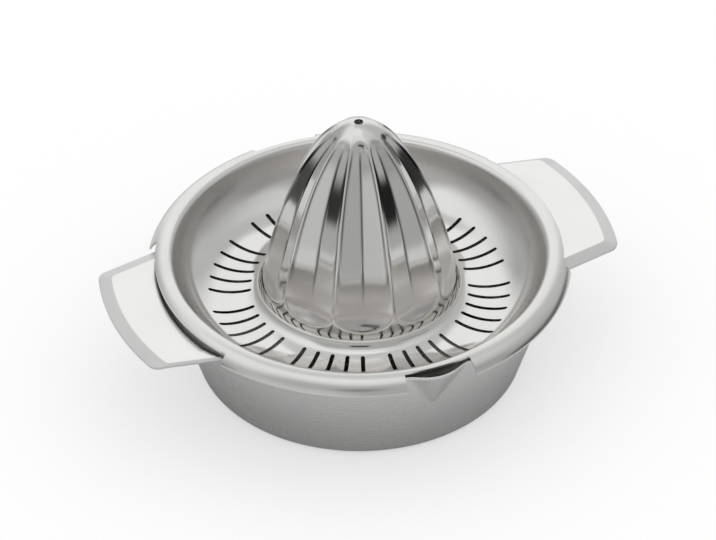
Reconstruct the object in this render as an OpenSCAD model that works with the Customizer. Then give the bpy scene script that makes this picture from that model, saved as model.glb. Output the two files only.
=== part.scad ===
// Citrus juicer: a pressed steel juice bowl with two side handles and a pouring lip, and a
// one-piece pressed top with a fluted cone, a slotted gutter dish and a skirt that drops over the bowl.
// Millimetres, +Z up, base of the bowl on z = 0, handles along X, pouring lip towards -Y.

/* [Sheet steel] */
// Thickness of the bowl's sheet
bowl_t = 0.8; // [0.5:0.1:1.2]
// Thickness of the top's sheet
top_t = 0.8; // [0.5:0.1:1.2]
// Thickness of the handles' sheet
handle_t = 1.0; // [0.6:0.1:1.6]

/* [Juice bowl] */
// Height of the bowl to its cut edge
bowl_height = 44.5; // [36:0.5:60]
// Outside diameter of the bowl at its cut edge
bowl_rim_d = 146; // [120:1:180]
// How far the wall leans out, from base to edge, on each side
bowl_flare = 13.5; // [8:0.5:18]
// Outside rounding between the flat base and the wall
bowl_base_round = 3; // [1.5:0.5:6]

/* [Pouring lip] */
// How far the lip stands out beyond the bowl's edge
lip_reach = 2.9; // [2:0.1:4]
// How far below the edge the lip begins
lip_fall = 17.5; // [12:0.5:24]
// Half angle of the cone that the lip is pressed to
lip_cone = 42; // [36:1:46]
// Space beside the lip in the skirt's notch
lip_side_gap = 1.7; // [1:0.1:3]

/* [Handles] */
// Length over both handles
handle_span = 190.4; // [170:0.2:230]
// Width of a handle where it meets the bowl
handle_root_w = 67; // [50:1:76]
// Width of a handle across its outer corners
handle_tip_w = 58.6; // [44:0.2:66]
// Rounding of the outer corners
handle_corner = 5; // [3:0.5:9]
// Panel's top face below the bowl's edge
handle_drop = 2.2; // [1.8:0.1:6]
// Width of the sloped border
border_w = 4.6; // [2:0.1:6]
// Width of the narrow border along one side
thin_border_w = 1.2; // [0.6:0.1:4]
// How far the border falls
border_fall = 1.2; // [0.4:0.1:1.8]
// Depth of the welded flange along the bowl's wall
weld_flange = 3.5; // [2:0.5:6]
// Space beside a handle in the skirt's notch
handle_side_gap = 3.2; // [1:0.2:5]

/* [Rim and skirt of the top] */
// Clearance between the bowl's edge and the underside of the rim
seat_gap = 0.25; // [0.1:0.05:0.6]
// Rounding of the rim's outer half, seen in section
skirt_round = 7.5; // [6:0.1:9]
// Crest of the rim inside the bowl's edge
rim_inset = 2.7; // [2.2:0.1:3.2]
// Slope of the skirt at its lower edge
skirt_angle = 67; // [60:1:76]
// Rounding of the rim's inner half
rim_inner_round = 2.6; // [1.8:0.1:4]

/* [Gutter dish] */
// Depth of the gutter below the crest of the rim
dish_depth = 18.3; // [15:0.1:20]
// Lowest ring of the gutter outside the cone's base
gutter_out = 11; // [9:0.5:14]
// Fillet between the gutter and the cone
cone_fillet = 5.5; // [4:0.5:8]

/* [Juice slots] */
// Groups of slots
slot_groups = 8; // [6:1:8]
// Slots in a group
slots_in_group = 5; // [3:1:5]
// Angle from slot to slot
slot_step = 7.765; // [6:0.005:8]
// Width of a slot
slot_w = 1.55; // [1:0.05:2.2]
// Length of a slot
slot_len = 15.7; // [10:0.1:17]
// Start of the slots outside the cone's base
slot_start = 4.25; // [3:0.05:6]
// Turn of the slot groups from the handles
slot_turn = 8.6; // [0:0.1:45]

/* [Fluted cone] */
// Diameter of the cone at its base
cone_base_d = 70.9; // [62:0.1:80]
// Height of the cone above its base
cone_height = 70; // [50:0.1:80]
// Height over which the cone's foot turns upright
cone_foot = 7; // [3:0.5:12]
// Share of the straight taper in the cone's outline
cone_taper = 0.705; // [0.5:0.005:0.8]
// Number of flutes
flutes = 10; // [8:1:14]
// Depth of a flute at the foot of the cone
flute_depth = 3.7; // [2:0.1:4.6]
// Start of the flutes above the cone's base
flute_start = 1.4; // [0.6:0.1:4]
// Length of the rounded end of a flute
flute_end = 7; // [4:0.5:12]
// Height over which a flute gains two thirds of its depth
flute_run_in = 2.4; // [1.6:0.1:8]
// Turn of the flutes from the handles
flute_turn = 34.1; // [0:0.1:45]
// Diameter of the vent hole at the tip
vent_d = 3.3; // [2.4:0.1:5]

/* [Hidden] */
$fn = 120;
bowl_rim_r = bowl_rim_d / 2;
wall_slope = bowl_flare / bowl_height;
wall_angle = atan(wall_slope);
base_cone_r = bowl_rim_r - bowl_flare;
lip_out_angle = atan(wall_slope + lip_reach / lip_fall);
lip_root = 0.5;
lip_bend = lip_fall * tan(lip_cone);
lip_half = sqrt(lip_reach / (1 / (2 * lip_bend) - 1 / bowl_rim_d));
crest_r = bowl_rim_r - rim_inset;
crest_z = bowl_height + seat_gap + skirt_round - sqrt(pow(skirt_round - top_t, 2) - pow(rim_inset, 2));
skirt_end_r = crest_r + skirt_round * sin(skirt_angle);
cone_base_r = cone_base_d / 2;
cone_blunt = 0.602;
cone_curl = 2.98;
gutter_r = cone_base_r + gutter_out;
gutter_z = crest_z - dish_depth;
dish_run = crest_r - gutter_r;
dish_lift = dish_depth - rim_inner_round;
dish_round = (pow(dish_run, 2) + pow(dish_lift, 2) - pow(rim_inner_round, 2)) / (2 * dish_depth);
dish_sweep = 90 - atan((dish_round - dish_lift) / dish_run);
fillet_c_r = cone_base_r + cone_fillet;
dish_in = asin((gutter_r - fillet_c_r) / (dish_round - cone_fillet));
cone_base_z = gutter_z + dish_round - (dish_round - cone_fillet) * cos(dish_in);
slot_in_r = cone_base_r + slot_start;
panel_z = bowl_height - handle_drop;
handle_r = handle_span / 2;
root_x = bowl_rim_r - 3;
tip_x = sqrt(handle_r * handle_r - handle_tip_w * handle_tip_w / 4);
side_slope = (handle_root_w - handle_tip_w) / 2 / (tip_x - root_x);
side_angle = atan(side_slope);
handle_notch_r = crest_r + skirt_round * sin(skirt_angle * 0.5);
handle_notch = asin(handle_root_w / 2 / skirt_end_r) + asin(handle_side_gap / skirt_end_r);
lip_notch_r = crest_r + 1.5;
lip_notch = asin((lip_half + lip_side_gap) / bowl_rim_r);
vent_r = vent_d / 2;
steel = [0.78, 0.78, 0.77];
bright_steel = [0.86, 0.86, 0.86];

// Points of an arc in a section plane, each with its outward normal
function arc_pts(c, r, a0, a1, n, side) =
    [for (i = [0 : n])
        let (a = a0 + (a1 - a0) * i / n)
        [c + r * [cos(a), sin(a)], side * [cos(a), sin(a)]]];

// Closed outline of a sheet whose upper face passes through the given points
function sheet_outline(pts, t) =
    concat([for (p = pts) p[0]], [for (i = [len(pts) - 1 : -1 : 0]) pts[i][0] - t * pts[i][1]]);

// Outer wall radius of the bowl at a height
function wall_r(z) = base_cone_r + wall_slope * z;

// Solid inside the bowl's wall, at a depth d behind its outer face, up to a height
module bowl_solid(d, top) {
    turn = 90 - wall_angle;
    round_r = bowl_base_round - d;
    side = base_cone_r - d / cos(wall_angle);
    c = [side - wall_slope * -d - round_r / cos(wall_angle) + wall_slope * round_r, d + round_r];
    bend = [for (i = [0 : 6]) let (a = -90 + turn * i / 6) c + round_r * [cos(a), sin(a)]];
    rotate_extrude()
        polygon(concat([[0, d]], bend, [[side + wall_slope * top, top], [0, top]]));
}

// Cone that the pouring lip is pressed to, at a depth d behind its outer face, facing -Y
module lip_solid(d) {
    tilt = lip_cone - lip_out_angle;
    z = bowl_height - lip_fall;
    reach = 1.6 * lip_fall;
    start = lip_root + d / sin(lip_cone);
    translate([0, -wall_r(z), z])
        rotate([-tilt, 0, 0])
            translate([0, 0, start])
                cylinder(h = reach, r1 = lip_root * tan(lip_cone), r2 = (lip_root + reach) * tan(lip_cone));
}

module juice_bowl() {
    above = bowl_height + 4;
    color(steel)
        difference() {
            union() {
                bowl_solid(0, above);
                lip_solid(0);
            }
            bowl_solid(bowl_t, above + 2);
            lip_solid(bowl_t);
            translate([0, 0, bowl_height]) cylinder(h = 60, r = bowl_rim_d);
        }
}

// Plan of a handle, with its rounded outer corners
module handle_plan() {
    reach = handle_r - handle_corner;
    inset = handle_corner / cos(side_angle);
    line_y = handle_root_w / 2 + side_slope * root_x - inset;
    half_b = side_slope * line_y;
    one_s = 1 + side_slope * side_slope;
    cx = (half_b + sqrt(half_b * half_b - one_s * (line_y * line_y - reach * reach))) / one_s;
    cy = line_y - side_slope * cx;
    on_side = [cx, cy] + handle_corner * [sin(side_angle), cos(side_angle)];
    on_arc = [cx, cy] * handle_r / reach;
    beyond = [handle_r + 2, handle_tip_w / 2 + 2];
    difference() {
        intersection() {
            circle(r = handle_r);
            polygon([[root_x - 12, handle_root_w / 2 + 12 * side_slope],
                     [handle_r + 6, handle_root_w / 2 - (handle_r + 6 - root_x) * side_slope],
                     [handle_r + 6, -handle_root_w / 2 + (handle_r + 6 - root_x) * side_slope],
                     [root_x - 12, -handle_root_w / 2 - 12 * side_slope]]);
        }
        for (s = [0, 1])
            mirror([0, s])
                difference() {
                    polygon([[cx, cy], on_side, [beyond[0], on_side[1] + 2], [beyond[0], on_arc[1]], on_arc]);
                    translate([cx, cy]) circle(r = handle_corner);
                }
    }
}

// Everything under a handle's top face: flat panel, sloped outer border, a narrow and a wide side border
module handle_under(z) {
    deep = 20;
    fall_angle = atan(border_fall / border_w);
    side_fall = [border_fall * thin_border_w / border_w, border_fall];
    intersection() {
        rotate_extrude()
            polygon([[0, z - deep], [handle_r + 10, z - deep],
                     [handle_r + 10, z - border_fall - 10 * border_fall / border_w],
                     [handle_r - border_w, z], [0, z]]);
        for (s = [0, 1])
            mirror([0, s, 0])
                translate([root_x, handle_root_w / 2, z - side_fall[s]])
                    rotate([0, 0, -side_angle])
                        rotate([-fall_angle, 0, 0])
                            translate([-40, -handle_root_w - 40, -2 * deep])
                                cube([120, handle_root_w + 80, 2 * deep]);
    }
}

// One handle, reaching towards +X
module handle() {
    flange_half = asin((handle_root_w / 2 - border_w) / bowl_rim_r);
    lean = handle_t / cos(wall_angle);
    difference() {
        union() {
            intersection() {
                translate([0, 0, panel_z - 20]) linear_extrude(height = 30) handle_plan();
                difference() {
                    handle_under(panel_z);
                    translate([0, 0, -handle_t]) handle_under(panel_z);
                }
            }
            rotate([0, 0, -flange_half])
                rotate_extrude(angle = 2 * flange_half)
                    polygon([[wall_r(panel_z - weld_flange) - 1, panel_z - weld_flange],
                             [wall_r(panel_z - weld_flange) + lean, panel_z - weld_flange],
                             [wall_r(panel_z - handle_t / 2) + lean, panel_z - handle_t / 2],
                             [wall_r(panel_z - handle_t / 2) - 1, panel_z - handle_t / 2]]);
        }
        rotate_extrude()
            polygon([[0, 0], [base_cone_r, 0], [bowl_rim_r, bowl_height], [0, bowl_height]]);
    }
}

module left_handle() {
    color(bright_steel) rotate([0, 0, 180]) handle();
}

module right_handle() {
    color(bright_steel) handle();
}

// Section of the top's sheet from the foot of the cone to the lower edge of the skirt
module dish_section() {
    fillet_c = [fillet_c_r, cone_base_z];
    bowl_c = [gutter_r, gutter_z + dish_round];
    inner_c = [crest_r, crest_z - rim_inner_round];
    outer_c = [crest_r, crest_z - skirt_round];
    polygon(sheet_outline(concat(
        arc_pts(fillet_c, cone_fillet, 180, 270 - dish_in, 8, -1),
        [for (i = [1 : 12]) arc_pts(bowl_c, dish_round, 270 - dish_in, 270 + dish_sweep, 12, -1)[i]],
        [for (i = [1 : 6]) arc_pts(inner_c, rim_inner_round, 90 + dish_sweep, 90, 6, 1)[i]],
        [for (i = [1 : 8]) arc_pts(outer_c, skirt_round, 90, 90 - skirt_angle, 8, 1)[i]]), top_t));
}

// Plain cone's radius and lean, and a flute's half width and depth, at a share u of the height
function foot_run(u) =
    let (f = cone_foot / cone_height)
    (sqrt(u * u + f * f) - f) / (sqrt(1 + f * f) - f);
function cone_r(u) =
    let (s = foot_run(u))
    cone_base_r * pow(1 - cone_taper * s - (1 - cone_taper) * pow(s, cone_curl), cone_blunt);
function cone_lean(u) = (cone_r(u + 0.0005) - cone_r(u - 0.0005)) / (0.001 * cone_height);
function flute_half(u) =
    let (h = u * cone_height - flute_start, s = min(1, max(0, h / flute_end)))
    (180 / flutes) * sqrt(1 - (1 - s) * (1 - s));
function flute_drop(u) =
    let (in = 1 - exp(-max(0, u * cone_height - flute_start) / flute_run_in),
         out = min(1, max(0, (0.97 - u) / 0.2)))
    flute_depth * pow(cone_r(u) / cone_base_r, 1.1) * in * out * (2 - out);

// Cut of a V-shaped flute with flat sides, at an angle a from its valley
function flute_cut(u, a) =
    let (r = cone_r(u), w = flute_half(u), v = r - flute_drop(u))
    abs(a) >= w ? 0 :
    r - v * r * sin(w) / (r * sin(w) * cos(a) - (r * cos(w) - v) * sin(abs(a)));

// Thin fluted shell of the cone, with its foot let into the dish's sheet
module cone_shell() {
    spread = [-1, -0.66, -0.33, -0.1, 0, 0.1, 0.33, 0.66];
    per = len(spread);
    n = flutes * per;
    levels = 26;
    lap = 0.6;
    ease = 0.06;
    foot_z = cone_base_z - lap;
    foot_out = fillet_c_r - sqrt(pow(cone_fillet, 2) - lap * lap) + ease;
    foot_in = fillet_c_r - sqrt(pow(cone_fillet + top_t, 2) - lap * lap) - ease;
    share = [for (i = [1 : levels]) 0.998 * (1 - pow(1 - pow(i / levels, 1.35), 1.7))];
    function off(j) = spread[j % per] * 180 / flutes;
    function turn(j) = flute_turn + 360 * floor(j / per) / flutes + off(j);
    function at(r, j, z) = [r * cos(turn(j)), r * sin(turn(j)), z];
    outside = concat(
        [for (j = [0 : n - 1]) at(foot_out, j, foot_z)],
        [for (u = share) for (j = [0 : n - 1])
            at(cone_r(u) - flute_cut(u, off(j)), j, cone_base_z + u * cone_height)]);
    inside = concat(
        [for (j = [0 : n - 1]) at(foot_in, j, foot_z)],
        [for (u = share) for (j = [0 : n - 1])
            let (k = top_t / sqrt(1 + pow(cone_lean(u), 2)))
            at(max(vent_r * 0.5, cone_r(u) - flute_cut(u, off(j)) - k), j,
               cone_base_z + u * cone_height + k * cone_lean(u))]);
    m = len(outside);
    function nx(j) = (j + 1) % n;
    walls = [for (i = [0 : levels - 1]) for (j = [0 : n - 1])
        [i * n + j, (i + 1) * n + j, (i + 1) * n + nx(j), i * n + nx(j)]];
    polyhedron(
        points = concat(outside, inside),
        faces = concat(
            walls,
            [for (w = walls) [m + w[3], m + w[2], m + w[1], m + w[0]]],
            [for (j = [0 : n - 1]) [j, nx(j), m + nx(j), m + j]],
            [for (j = [0 : n - 1])
                [levels * n + nx(j), levels * n + j, m + levels * n + j, m + levels * n + nx(j)]]),
        convexity = 8);
}

// One juice slot with round ends, along X
module slot_plan() {
    translate([slot_in_r + slot_w / 2, -slot_w / 2]) square([slot_len - slot_w, slot_w]);
    translate([slot_in_r + slot_w / 2, 0]) circle(d = slot_w);
    translate([slot_in_r + slot_len - slot_w / 2, 0]) circle(d = slot_w);
}

// Sector that clears a handle or the lip from the skirt
module skirt_notch(from_r, half) {
    rotate([0, 0, -half])
        rotate_extrude(angle = 2 * half)
            translate([from_r, crest_z - skirt_round]) square([skirt_round + 6, skirt_round + 4]);
}

module reamer_strainer() {
    color(steel)
        difference() {
            union() {
                rotate_extrude() dish_section();
                cone_shell();
            }
            for (g = [0 : slot_groups - 1])
                for (k = [0 : slots_in_group - 1])
                    rotate([0, 0, slot_turn + 360 * g / slot_groups])
                        rotate([0, 0, (k - (slots_in_group - 1) / 2) * slot_step])
                            translate([0, 0, gutter_z - 3])
                                linear_extrude(height = 3 + dish_depth * 0.6) slot_plan();
            for (a = [0, 180]) rotate([0, 0, a]) skirt_notch(handle_notch_r, handle_notch);
            for (a = [90, 270]) rotate([0, 0, a]) skirt_notch(lip_notch_r, lip_notch);
            translate([0, 0, cone_base_z + cone_height - 8]) cylinder(h = 12, r = vent_r);
        }
}

juice_bowl();
left_handle();
right_handle();
reamer_strainer();
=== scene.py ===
"""Looks of a two-part steel citrus juicer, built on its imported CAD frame.

The juice bowl, its two handles and the lift-off top are modelled as smooth pressed sheets that stand
for the CAD nodes, dressed in steel finishes and shown in a plain white studio.
"""

import logging
import math
from bisect import bisect_left
from dataclasses import dataclass, field
from enum import Enum
from typing import Callable

import bmesh
import bpy
from mathutils import Matrix, Quaternion, Vector

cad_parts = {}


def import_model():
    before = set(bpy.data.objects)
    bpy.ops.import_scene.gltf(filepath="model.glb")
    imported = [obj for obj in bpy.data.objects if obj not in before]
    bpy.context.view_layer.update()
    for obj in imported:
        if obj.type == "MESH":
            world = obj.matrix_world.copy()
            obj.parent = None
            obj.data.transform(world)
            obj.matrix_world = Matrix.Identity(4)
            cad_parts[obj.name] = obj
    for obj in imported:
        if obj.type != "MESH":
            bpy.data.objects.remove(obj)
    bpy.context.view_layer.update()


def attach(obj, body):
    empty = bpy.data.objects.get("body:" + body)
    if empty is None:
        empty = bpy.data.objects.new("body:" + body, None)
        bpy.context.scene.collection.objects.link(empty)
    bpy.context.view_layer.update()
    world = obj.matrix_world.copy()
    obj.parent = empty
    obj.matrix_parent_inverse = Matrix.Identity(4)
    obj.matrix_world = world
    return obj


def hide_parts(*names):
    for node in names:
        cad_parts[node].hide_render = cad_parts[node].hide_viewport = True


LOG = logging.getLogger("juicer")
MM = 0.001
FULL_TURN = 2.0 * math.pi
# Attribute of painted light on the top: painted shade lines in the flutes' valleys and beside the ridges, painted
# highlights on the ridge crests, and a painted dark reflection on the dish's inner wall.
PAINTED_SHADE_AND_GLINT = "crease"
HAZE = "haze"

Colour = tuple[float, float, float]
Outline = list[tuple[float, float]]


class SheetFace(Enum):
    """Faces of a pressed sheet, as material indices."""

    UPPER = 0
    UNDER = 1
    CUT = 2


class Side(Enum):
    """Side of the bowl that a handle stands on, as its turn about the upright axis in degrees."""

    RIGHT = 0.0
    LEFT = 180.0


class Grain(Enum):
    """Direction of the fine lines that polishing leaves in steel."""

    ROUND = "round"
    ALONG = "along"


@dataclass(frozen=True)
class SheetPoint:
    """One point of a sheet's face in section, in millimetres, with the direction it faces."""

    r: float
    z: float
    nr: float
    nz: float

    def under(self, thickness: float) -> "SheetPoint":
        """Returns the point on the other face of a sheet of that thickness."""
        return SheetPoint(self.r - thickness * self.nr, self.z - thickness * self.nz, -self.nr, -self.nz)


def arc(centre: tuple[float, float], radius: float, start: float, end: float, count: int,
        side: int) -> list[SheetPoint]:
    """Points of an arc in section.

    Args:
        centre: Centre of the arc as radius and height in millimetres.
        radius: Radius of the arc in millimetres.
        start: Angle of its first point in degrees.
        end: Angle of its last point in degrees.
        count: Number of steps.
        side: 1 where the face is on the arc's outside, -1 where it is on its inside.

    Returns:
        The points with their directions.
    """
    points = []
    for i in range(count + 1):
        a = math.radians(start + (end - start) * i / count)
        c, s = math.cos(a), math.sin(a)
        points.append(SheetPoint(centre[0] + radius * c, centre[1] + radius * s, side * c, side * s))
    return points


def clamp(value: float) -> float:
    """Returns the value held between 0 and 1."""
    return min(1.0, max(0.0, value))


def along(x: float, xs: list[float], ys: list[float]) -> float:
    """Reads a value off a rising list of points.

    Args:
        x: Where to read.
        xs: Rising positions.
        ys: Values at these positions.

    Returns:
        The value at x, held at both ends.
    """
    k = min(max(bisect_left(xs, x), 1), len(xs) - 1)
    t = clamp((x - xs[k - 1]) / (xs[k] - xs[k - 1]))
    return ys[k - 1] + t * (ys[k] - ys[k - 1])


def grey(level: float) -> tuple[float, float, float, float]:
    """Returns a neutral colour of the given level."""
    return level, level, level, 1.0


def ease(value: float) -> float:
    """Returns the value held between 0 and 1, with a soft start and a soft end."""
    t = clamp(value)
    return t * t * (3.0 - 2.0 * t)


def smooth_max(a: float, b: float, width: float) -> float:
    """Returns the larger of two values, with a rounded change-over of the given width."""
    h = max(width - abs(a - b), 0.0) / width
    return max(a, b) + h * h * width / 4.0


def spin_line(bm: bmesh.types.BMesh, line: Outline, steps: int) -> list[bmesh.types.BMFace]:
    """Spins a line in section into a ring of faces about the upright axis.

    Args:
        bm: Mesh that takes the faces.
        line: Radii and heights in millimetres.
        steps: Steps in a full turn.

    Returns:
        The new faces.
    """
    before = set(bm.faces)
    verts = [bm.verts.new((r * MM, 0.0, z * MM)) for r, z in line]
    edges = [bm.edges.new(pair) for pair in zip(verts, verts[1:])]
    bmesh.ops.spin(bm, geom=verts + edges, cent=(0, 0, 0), axis=(0, 0, 1), dvec=(0, 0, 0), angle=FULL_TURN,
                   steps=steps, use_merge=True, use_normal_flip=False, use_duplicate=False)
    return [f for f in bm.faces if f not in before]


def close_mesh(bm: bmesh.types.BMesh) -> None:
    """Merges doubles and turns all faces outwards."""
    bmesh.ops.remove_doubles(bm, verts=bm.verts[:], dist=2e-6)
    bmesh.ops.recalc_face_normals(bm, faces=bm.faces[:])


def as_object(bm: bmesh.types.BMesh, name: str, sharp: float = 35.0) -> bpy.types.Object:
    """Makes a scene object of a mesh in work.

    Args:
        bm: Finished mesh, which is freed.
        name: Name of the object.
        sharp: Angle in degrees above which an edge stays sharp.

    Returns:
        The object, at the origin.
    """
    mesh = bpy.data.meshes.new(name)
    bm.to_mesh(mesh)
    bm.free()
    for polygon in mesh.polygons:
        polygon.use_smooth = True
    mesh.set_sharp_from_angle(angle=math.radians(sharp))
    piece = bpy.data.objects.new(name, mesh)
    bpy.context.scene.collection.objects.link(piece)
    return piece


class Shader:
    """A node tree in work, with short ways to add and join its nodes."""

    def __init__(self, tree: bpy.types.NodeTree) -> None:
        """Keeps the tree to work on."""
        self.tree = tree

    def node(self, kind: str, **values: object) -> bpy.types.Node:
        """Adds a node.

        Args:
            kind: Blender's name of the node type.
            values: Properties of the node to set.

        Returns:
            The node.
        """
        made = self.tree.nodes.new(kind)
        for key, value in values.items():
            setattr(made, key, value)
        return made

    def join(self, source: bpy.types.NodeSocket, target: bpy.types.NodeSocket) -> None:
        """Links an output to an input."""
        self.tree.links.new(source, target)

    def feed(self, target: bpy.types.NodeSocket, value: object) -> None:
        """Links a socket to an input, or sets a plain value on it."""
        if isinstance(value, bpy.types.NodeSocket):
            self.join(value, target)
        else:
            target.default_value = value

    def math(self, operation: str, a: object, b: object = 0.0, hold: bool = False) -> bpy.types.NodeSocket:
        """Adds a Math node.

        Args:
            operation: Name of the operation.
            a: First value or socket.
            b: Second value or socket.
            hold: True to keep the result between 0 and 1.

        Returns:
            The result's socket.
        """
        made = self.node("ShaderNodeMath", operation=operation, use_clamp=hold)
        self.feed(made.inputs[0], a)
        self.feed(made.inputs[1], b)
        return made.outputs[0]

    def ramp(self, value: object, low: float, high: float, out_low: float = 0.0,
             out_high: float = 1.0) -> bpy.types.NodeSocket:
        """Maps a range smoothly to another.

        Args:
            value: Value or socket to map.
            low: Start of its range.
            high: End of its range.
            out_low: Result at the start.
            out_high: Result at the end.

        Returns:
            The result's socket.
        """
        made = self.node("ShaderNodeMapRange", interpolation_type="SMOOTHSTEP")
        for socket, given in zip(made.inputs[:5], (value, low, high, out_low, out_high)):
            self.feed(socket, given)
        return made.outputs[0]

    def mix(self, share: object, a: object, b: object) -> bpy.types.NodeSocket:
        """Mixes two colours.

        Args:
            share: Share of the second colour.
            a: First colour or socket.
            b: Second colour or socket.

        Returns:
            The mixed colour's socket.
        """
        made = self.node("ShaderNodeMix", data_type="RGBA")
        self.feed(made.inputs["Factor"], share)
        self.feed(made.inputs[6], a)
        self.feed(made.inputs[7], b)
        return made.outputs[2]

    def group(self, tree: bpy.types.NodeTree, **values: object) -> bpy.types.Node:
        """Places a node group.

        Args:
            tree: The group.
            values: Inputs by name, with spaces written as underscores.

        Returns:
            The group's node.
        """
        made = self.node("ShaderNodeGroup", node_tree=tree)
        for key, value in values.items():
            self.feed(made.inputs[key.replace("_", " ")], value)
        return made


class SteelEffects:
    """Node groups that the steel finishes share."""

    def __init__(self) -> None:
        """Builds each group once."""
        self.lines = self._polishing_lines()
        self.marks = self._wiping_marks()
        self.band = self._round_band()

    @staticmethod
    def _start(name: str, inputs: dict[str, str], output: str) -> tuple[Shader, bpy.types.Node, bpy.types.Node]:
        """Starts a group.

        Args:
            name: Name of the group.
            inputs: Socket types by input name.
            output: Name of its one value output.

        Returns:
            The shader in work, its input node and its output node.
        """
        tree = bpy.data.node_groups.new(name, "ShaderNodeTree")
        for key, kind in inputs.items():
            tree.interface.new_socket(name=key, in_out="INPUT", socket_type=kind)
        tree.interface.new_socket(name=output, in_out="OUTPUT", socket_type="NodeSocketFloat")
        work = Shader(tree)
        return work, work.node("NodeGroupInput"), work.node("NodeGroupOutput")

    @staticmethod
    def _flat(work: Shader, place: bpy.types.NodeSocket) -> tuple[bpy.types.NodeSocket, bpy.types.NodeSocket]:
        """Drops the height of a place.

        Args:
            work: Shader in work.
            place: Coordinates.

        Returns:
            The place in plan and its distance from the upright axis.
        """
        flat = work.node("ShaderNodeVectorMath", operation="MULTIPLY")
        work.join(place, flat.inputs[0])
        flat.inputs[1].default_value = (1, 1, 0)
        radius = work.node("ShaderNodeVectorMath", operation="LENGTH")
        work.join(flat.outputs[0], radius.inputs[0])
        return flat.outputs[0], radius.outputs["Value"]

    def _polishing_lines(self) -> bpy.types.NodeTree:
        """Fine lines that run round the axis, or along the handles, broken here and there."""
        work, given, out = self._start("polishing_lines", {
            "Coordinates": "NodeSocketVector", "Density": "NodeSocketFloat", "Breaks": "NodeSocketFloat",
            "Round": "NodeSocketFloat"}, "Lines")
        flat, radius = self._flat(work, given.outputs["Coordinates"])
        unit = work.node("ShaderNodeVectorMath", operation="NORMALIZE")
        work.join(flat, unit.inputs[0])
        heading = work.node("ShaderNodeSeparateXYZ")
        work.join(unit.outputs[0], heading.inputs[0])
        place = work.node("ShaderNodeSeparateXYZ")
        work.join(given.outputs["Coordinates"], place.inputs[0])
        density, breaks = given.outputs["Density"], given.outputs["Breaks"]
        ring = work.node("ShaderNodeCombineXYZ")
        work.feed(ring.inputs[0], work.math("MULTIPLY", heading.outputs[0], breaks))
        work.feed(ring.inputs[1], work.math("MULTIPLY", heading.outputs[1], breaks))
        work.feed(ring.inputs[2], work.math("MULTIPLY", radius, density))
        straight = work.node("ShaderNodeCombineXYZ")
        work.feed(straight.inputs[0], work.math("MULTIPLY", place.outputs[0], work.math("MULTIPLY", breaks, 12.0)))
        work.feed(straight.inputs[1], work.math("MULTIPLY", place.outputs[1], density))
        choice = work.node("ShaderNodeMix", data_type="VECTOR")
        work.join(given.outputs["Round"], choice.inputs["Factor"])
        work.join(straight.outputs[0], choice.inputs[4])
        work.join(ring.outputs[0], choice.inputs[5])
        noise = work.node("ShaderNodeTexNoise", noise_dimensions="4D")
        work.join(choice.outputs[1], noise.inputs["Vector"])
        work.feed(noise.inputs["W"], work.math("MULTIPLY", place.outputs[2], density))
        noise.inputs["Scale"].default_value = 1.0
        noise.inputs["Detail"].default_value = 3.0
        noise.inputs["Roughness"].default_value = 0.6
        work.join(noise.outputs[0], out.inputs["Lines"])
        return work.tree

    def _wiping_marks(self) -> bpy.types.NodeTree:
        """Soft clouded marks that wiping and washing leave on steel."""
        work, given, out = self._start("wiping_marks", {
            "Coordinates": "NodeSocketVector", "Size": "NodeSocketFloat"}, "Marks")
        broad = work.node("ShaderNodeTexNoise")
        work.join(given.outputs["Coordinates"], broad.inputs["Vector"])
        work.join(given.outputs["Size"], broad.inputs["Scale"])
        broad.inputs["Detail"].default_value = 4.0
        broad.inputs["Distortion"].default_value = 0.8
        work.join(work.ramp(broad.outputs[0], 0.38, 0.72), out.inputs["Marks"])
        return work.tree

    def _round_band(self) -> bpy.types.NodeTree:
        """Mask that rises across a band of radii, for a finish that changes towards the rim, and for the painted
        shadow on the paper.
        """
        work, given, out = self._start("round_band", {
            "Coordinates": "NodeSocketVector", "Start": "NodeSocketFloat", "End": "NodeSocketFloat"}, "Mask")
        _, radius = self._flat(work, given.outputs["Coordinates"])
        work.join(work.ramp(radius, given.outputs["Start"], given.outputs["End"]), out.inputs["Mask"])
        return work.tree


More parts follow.
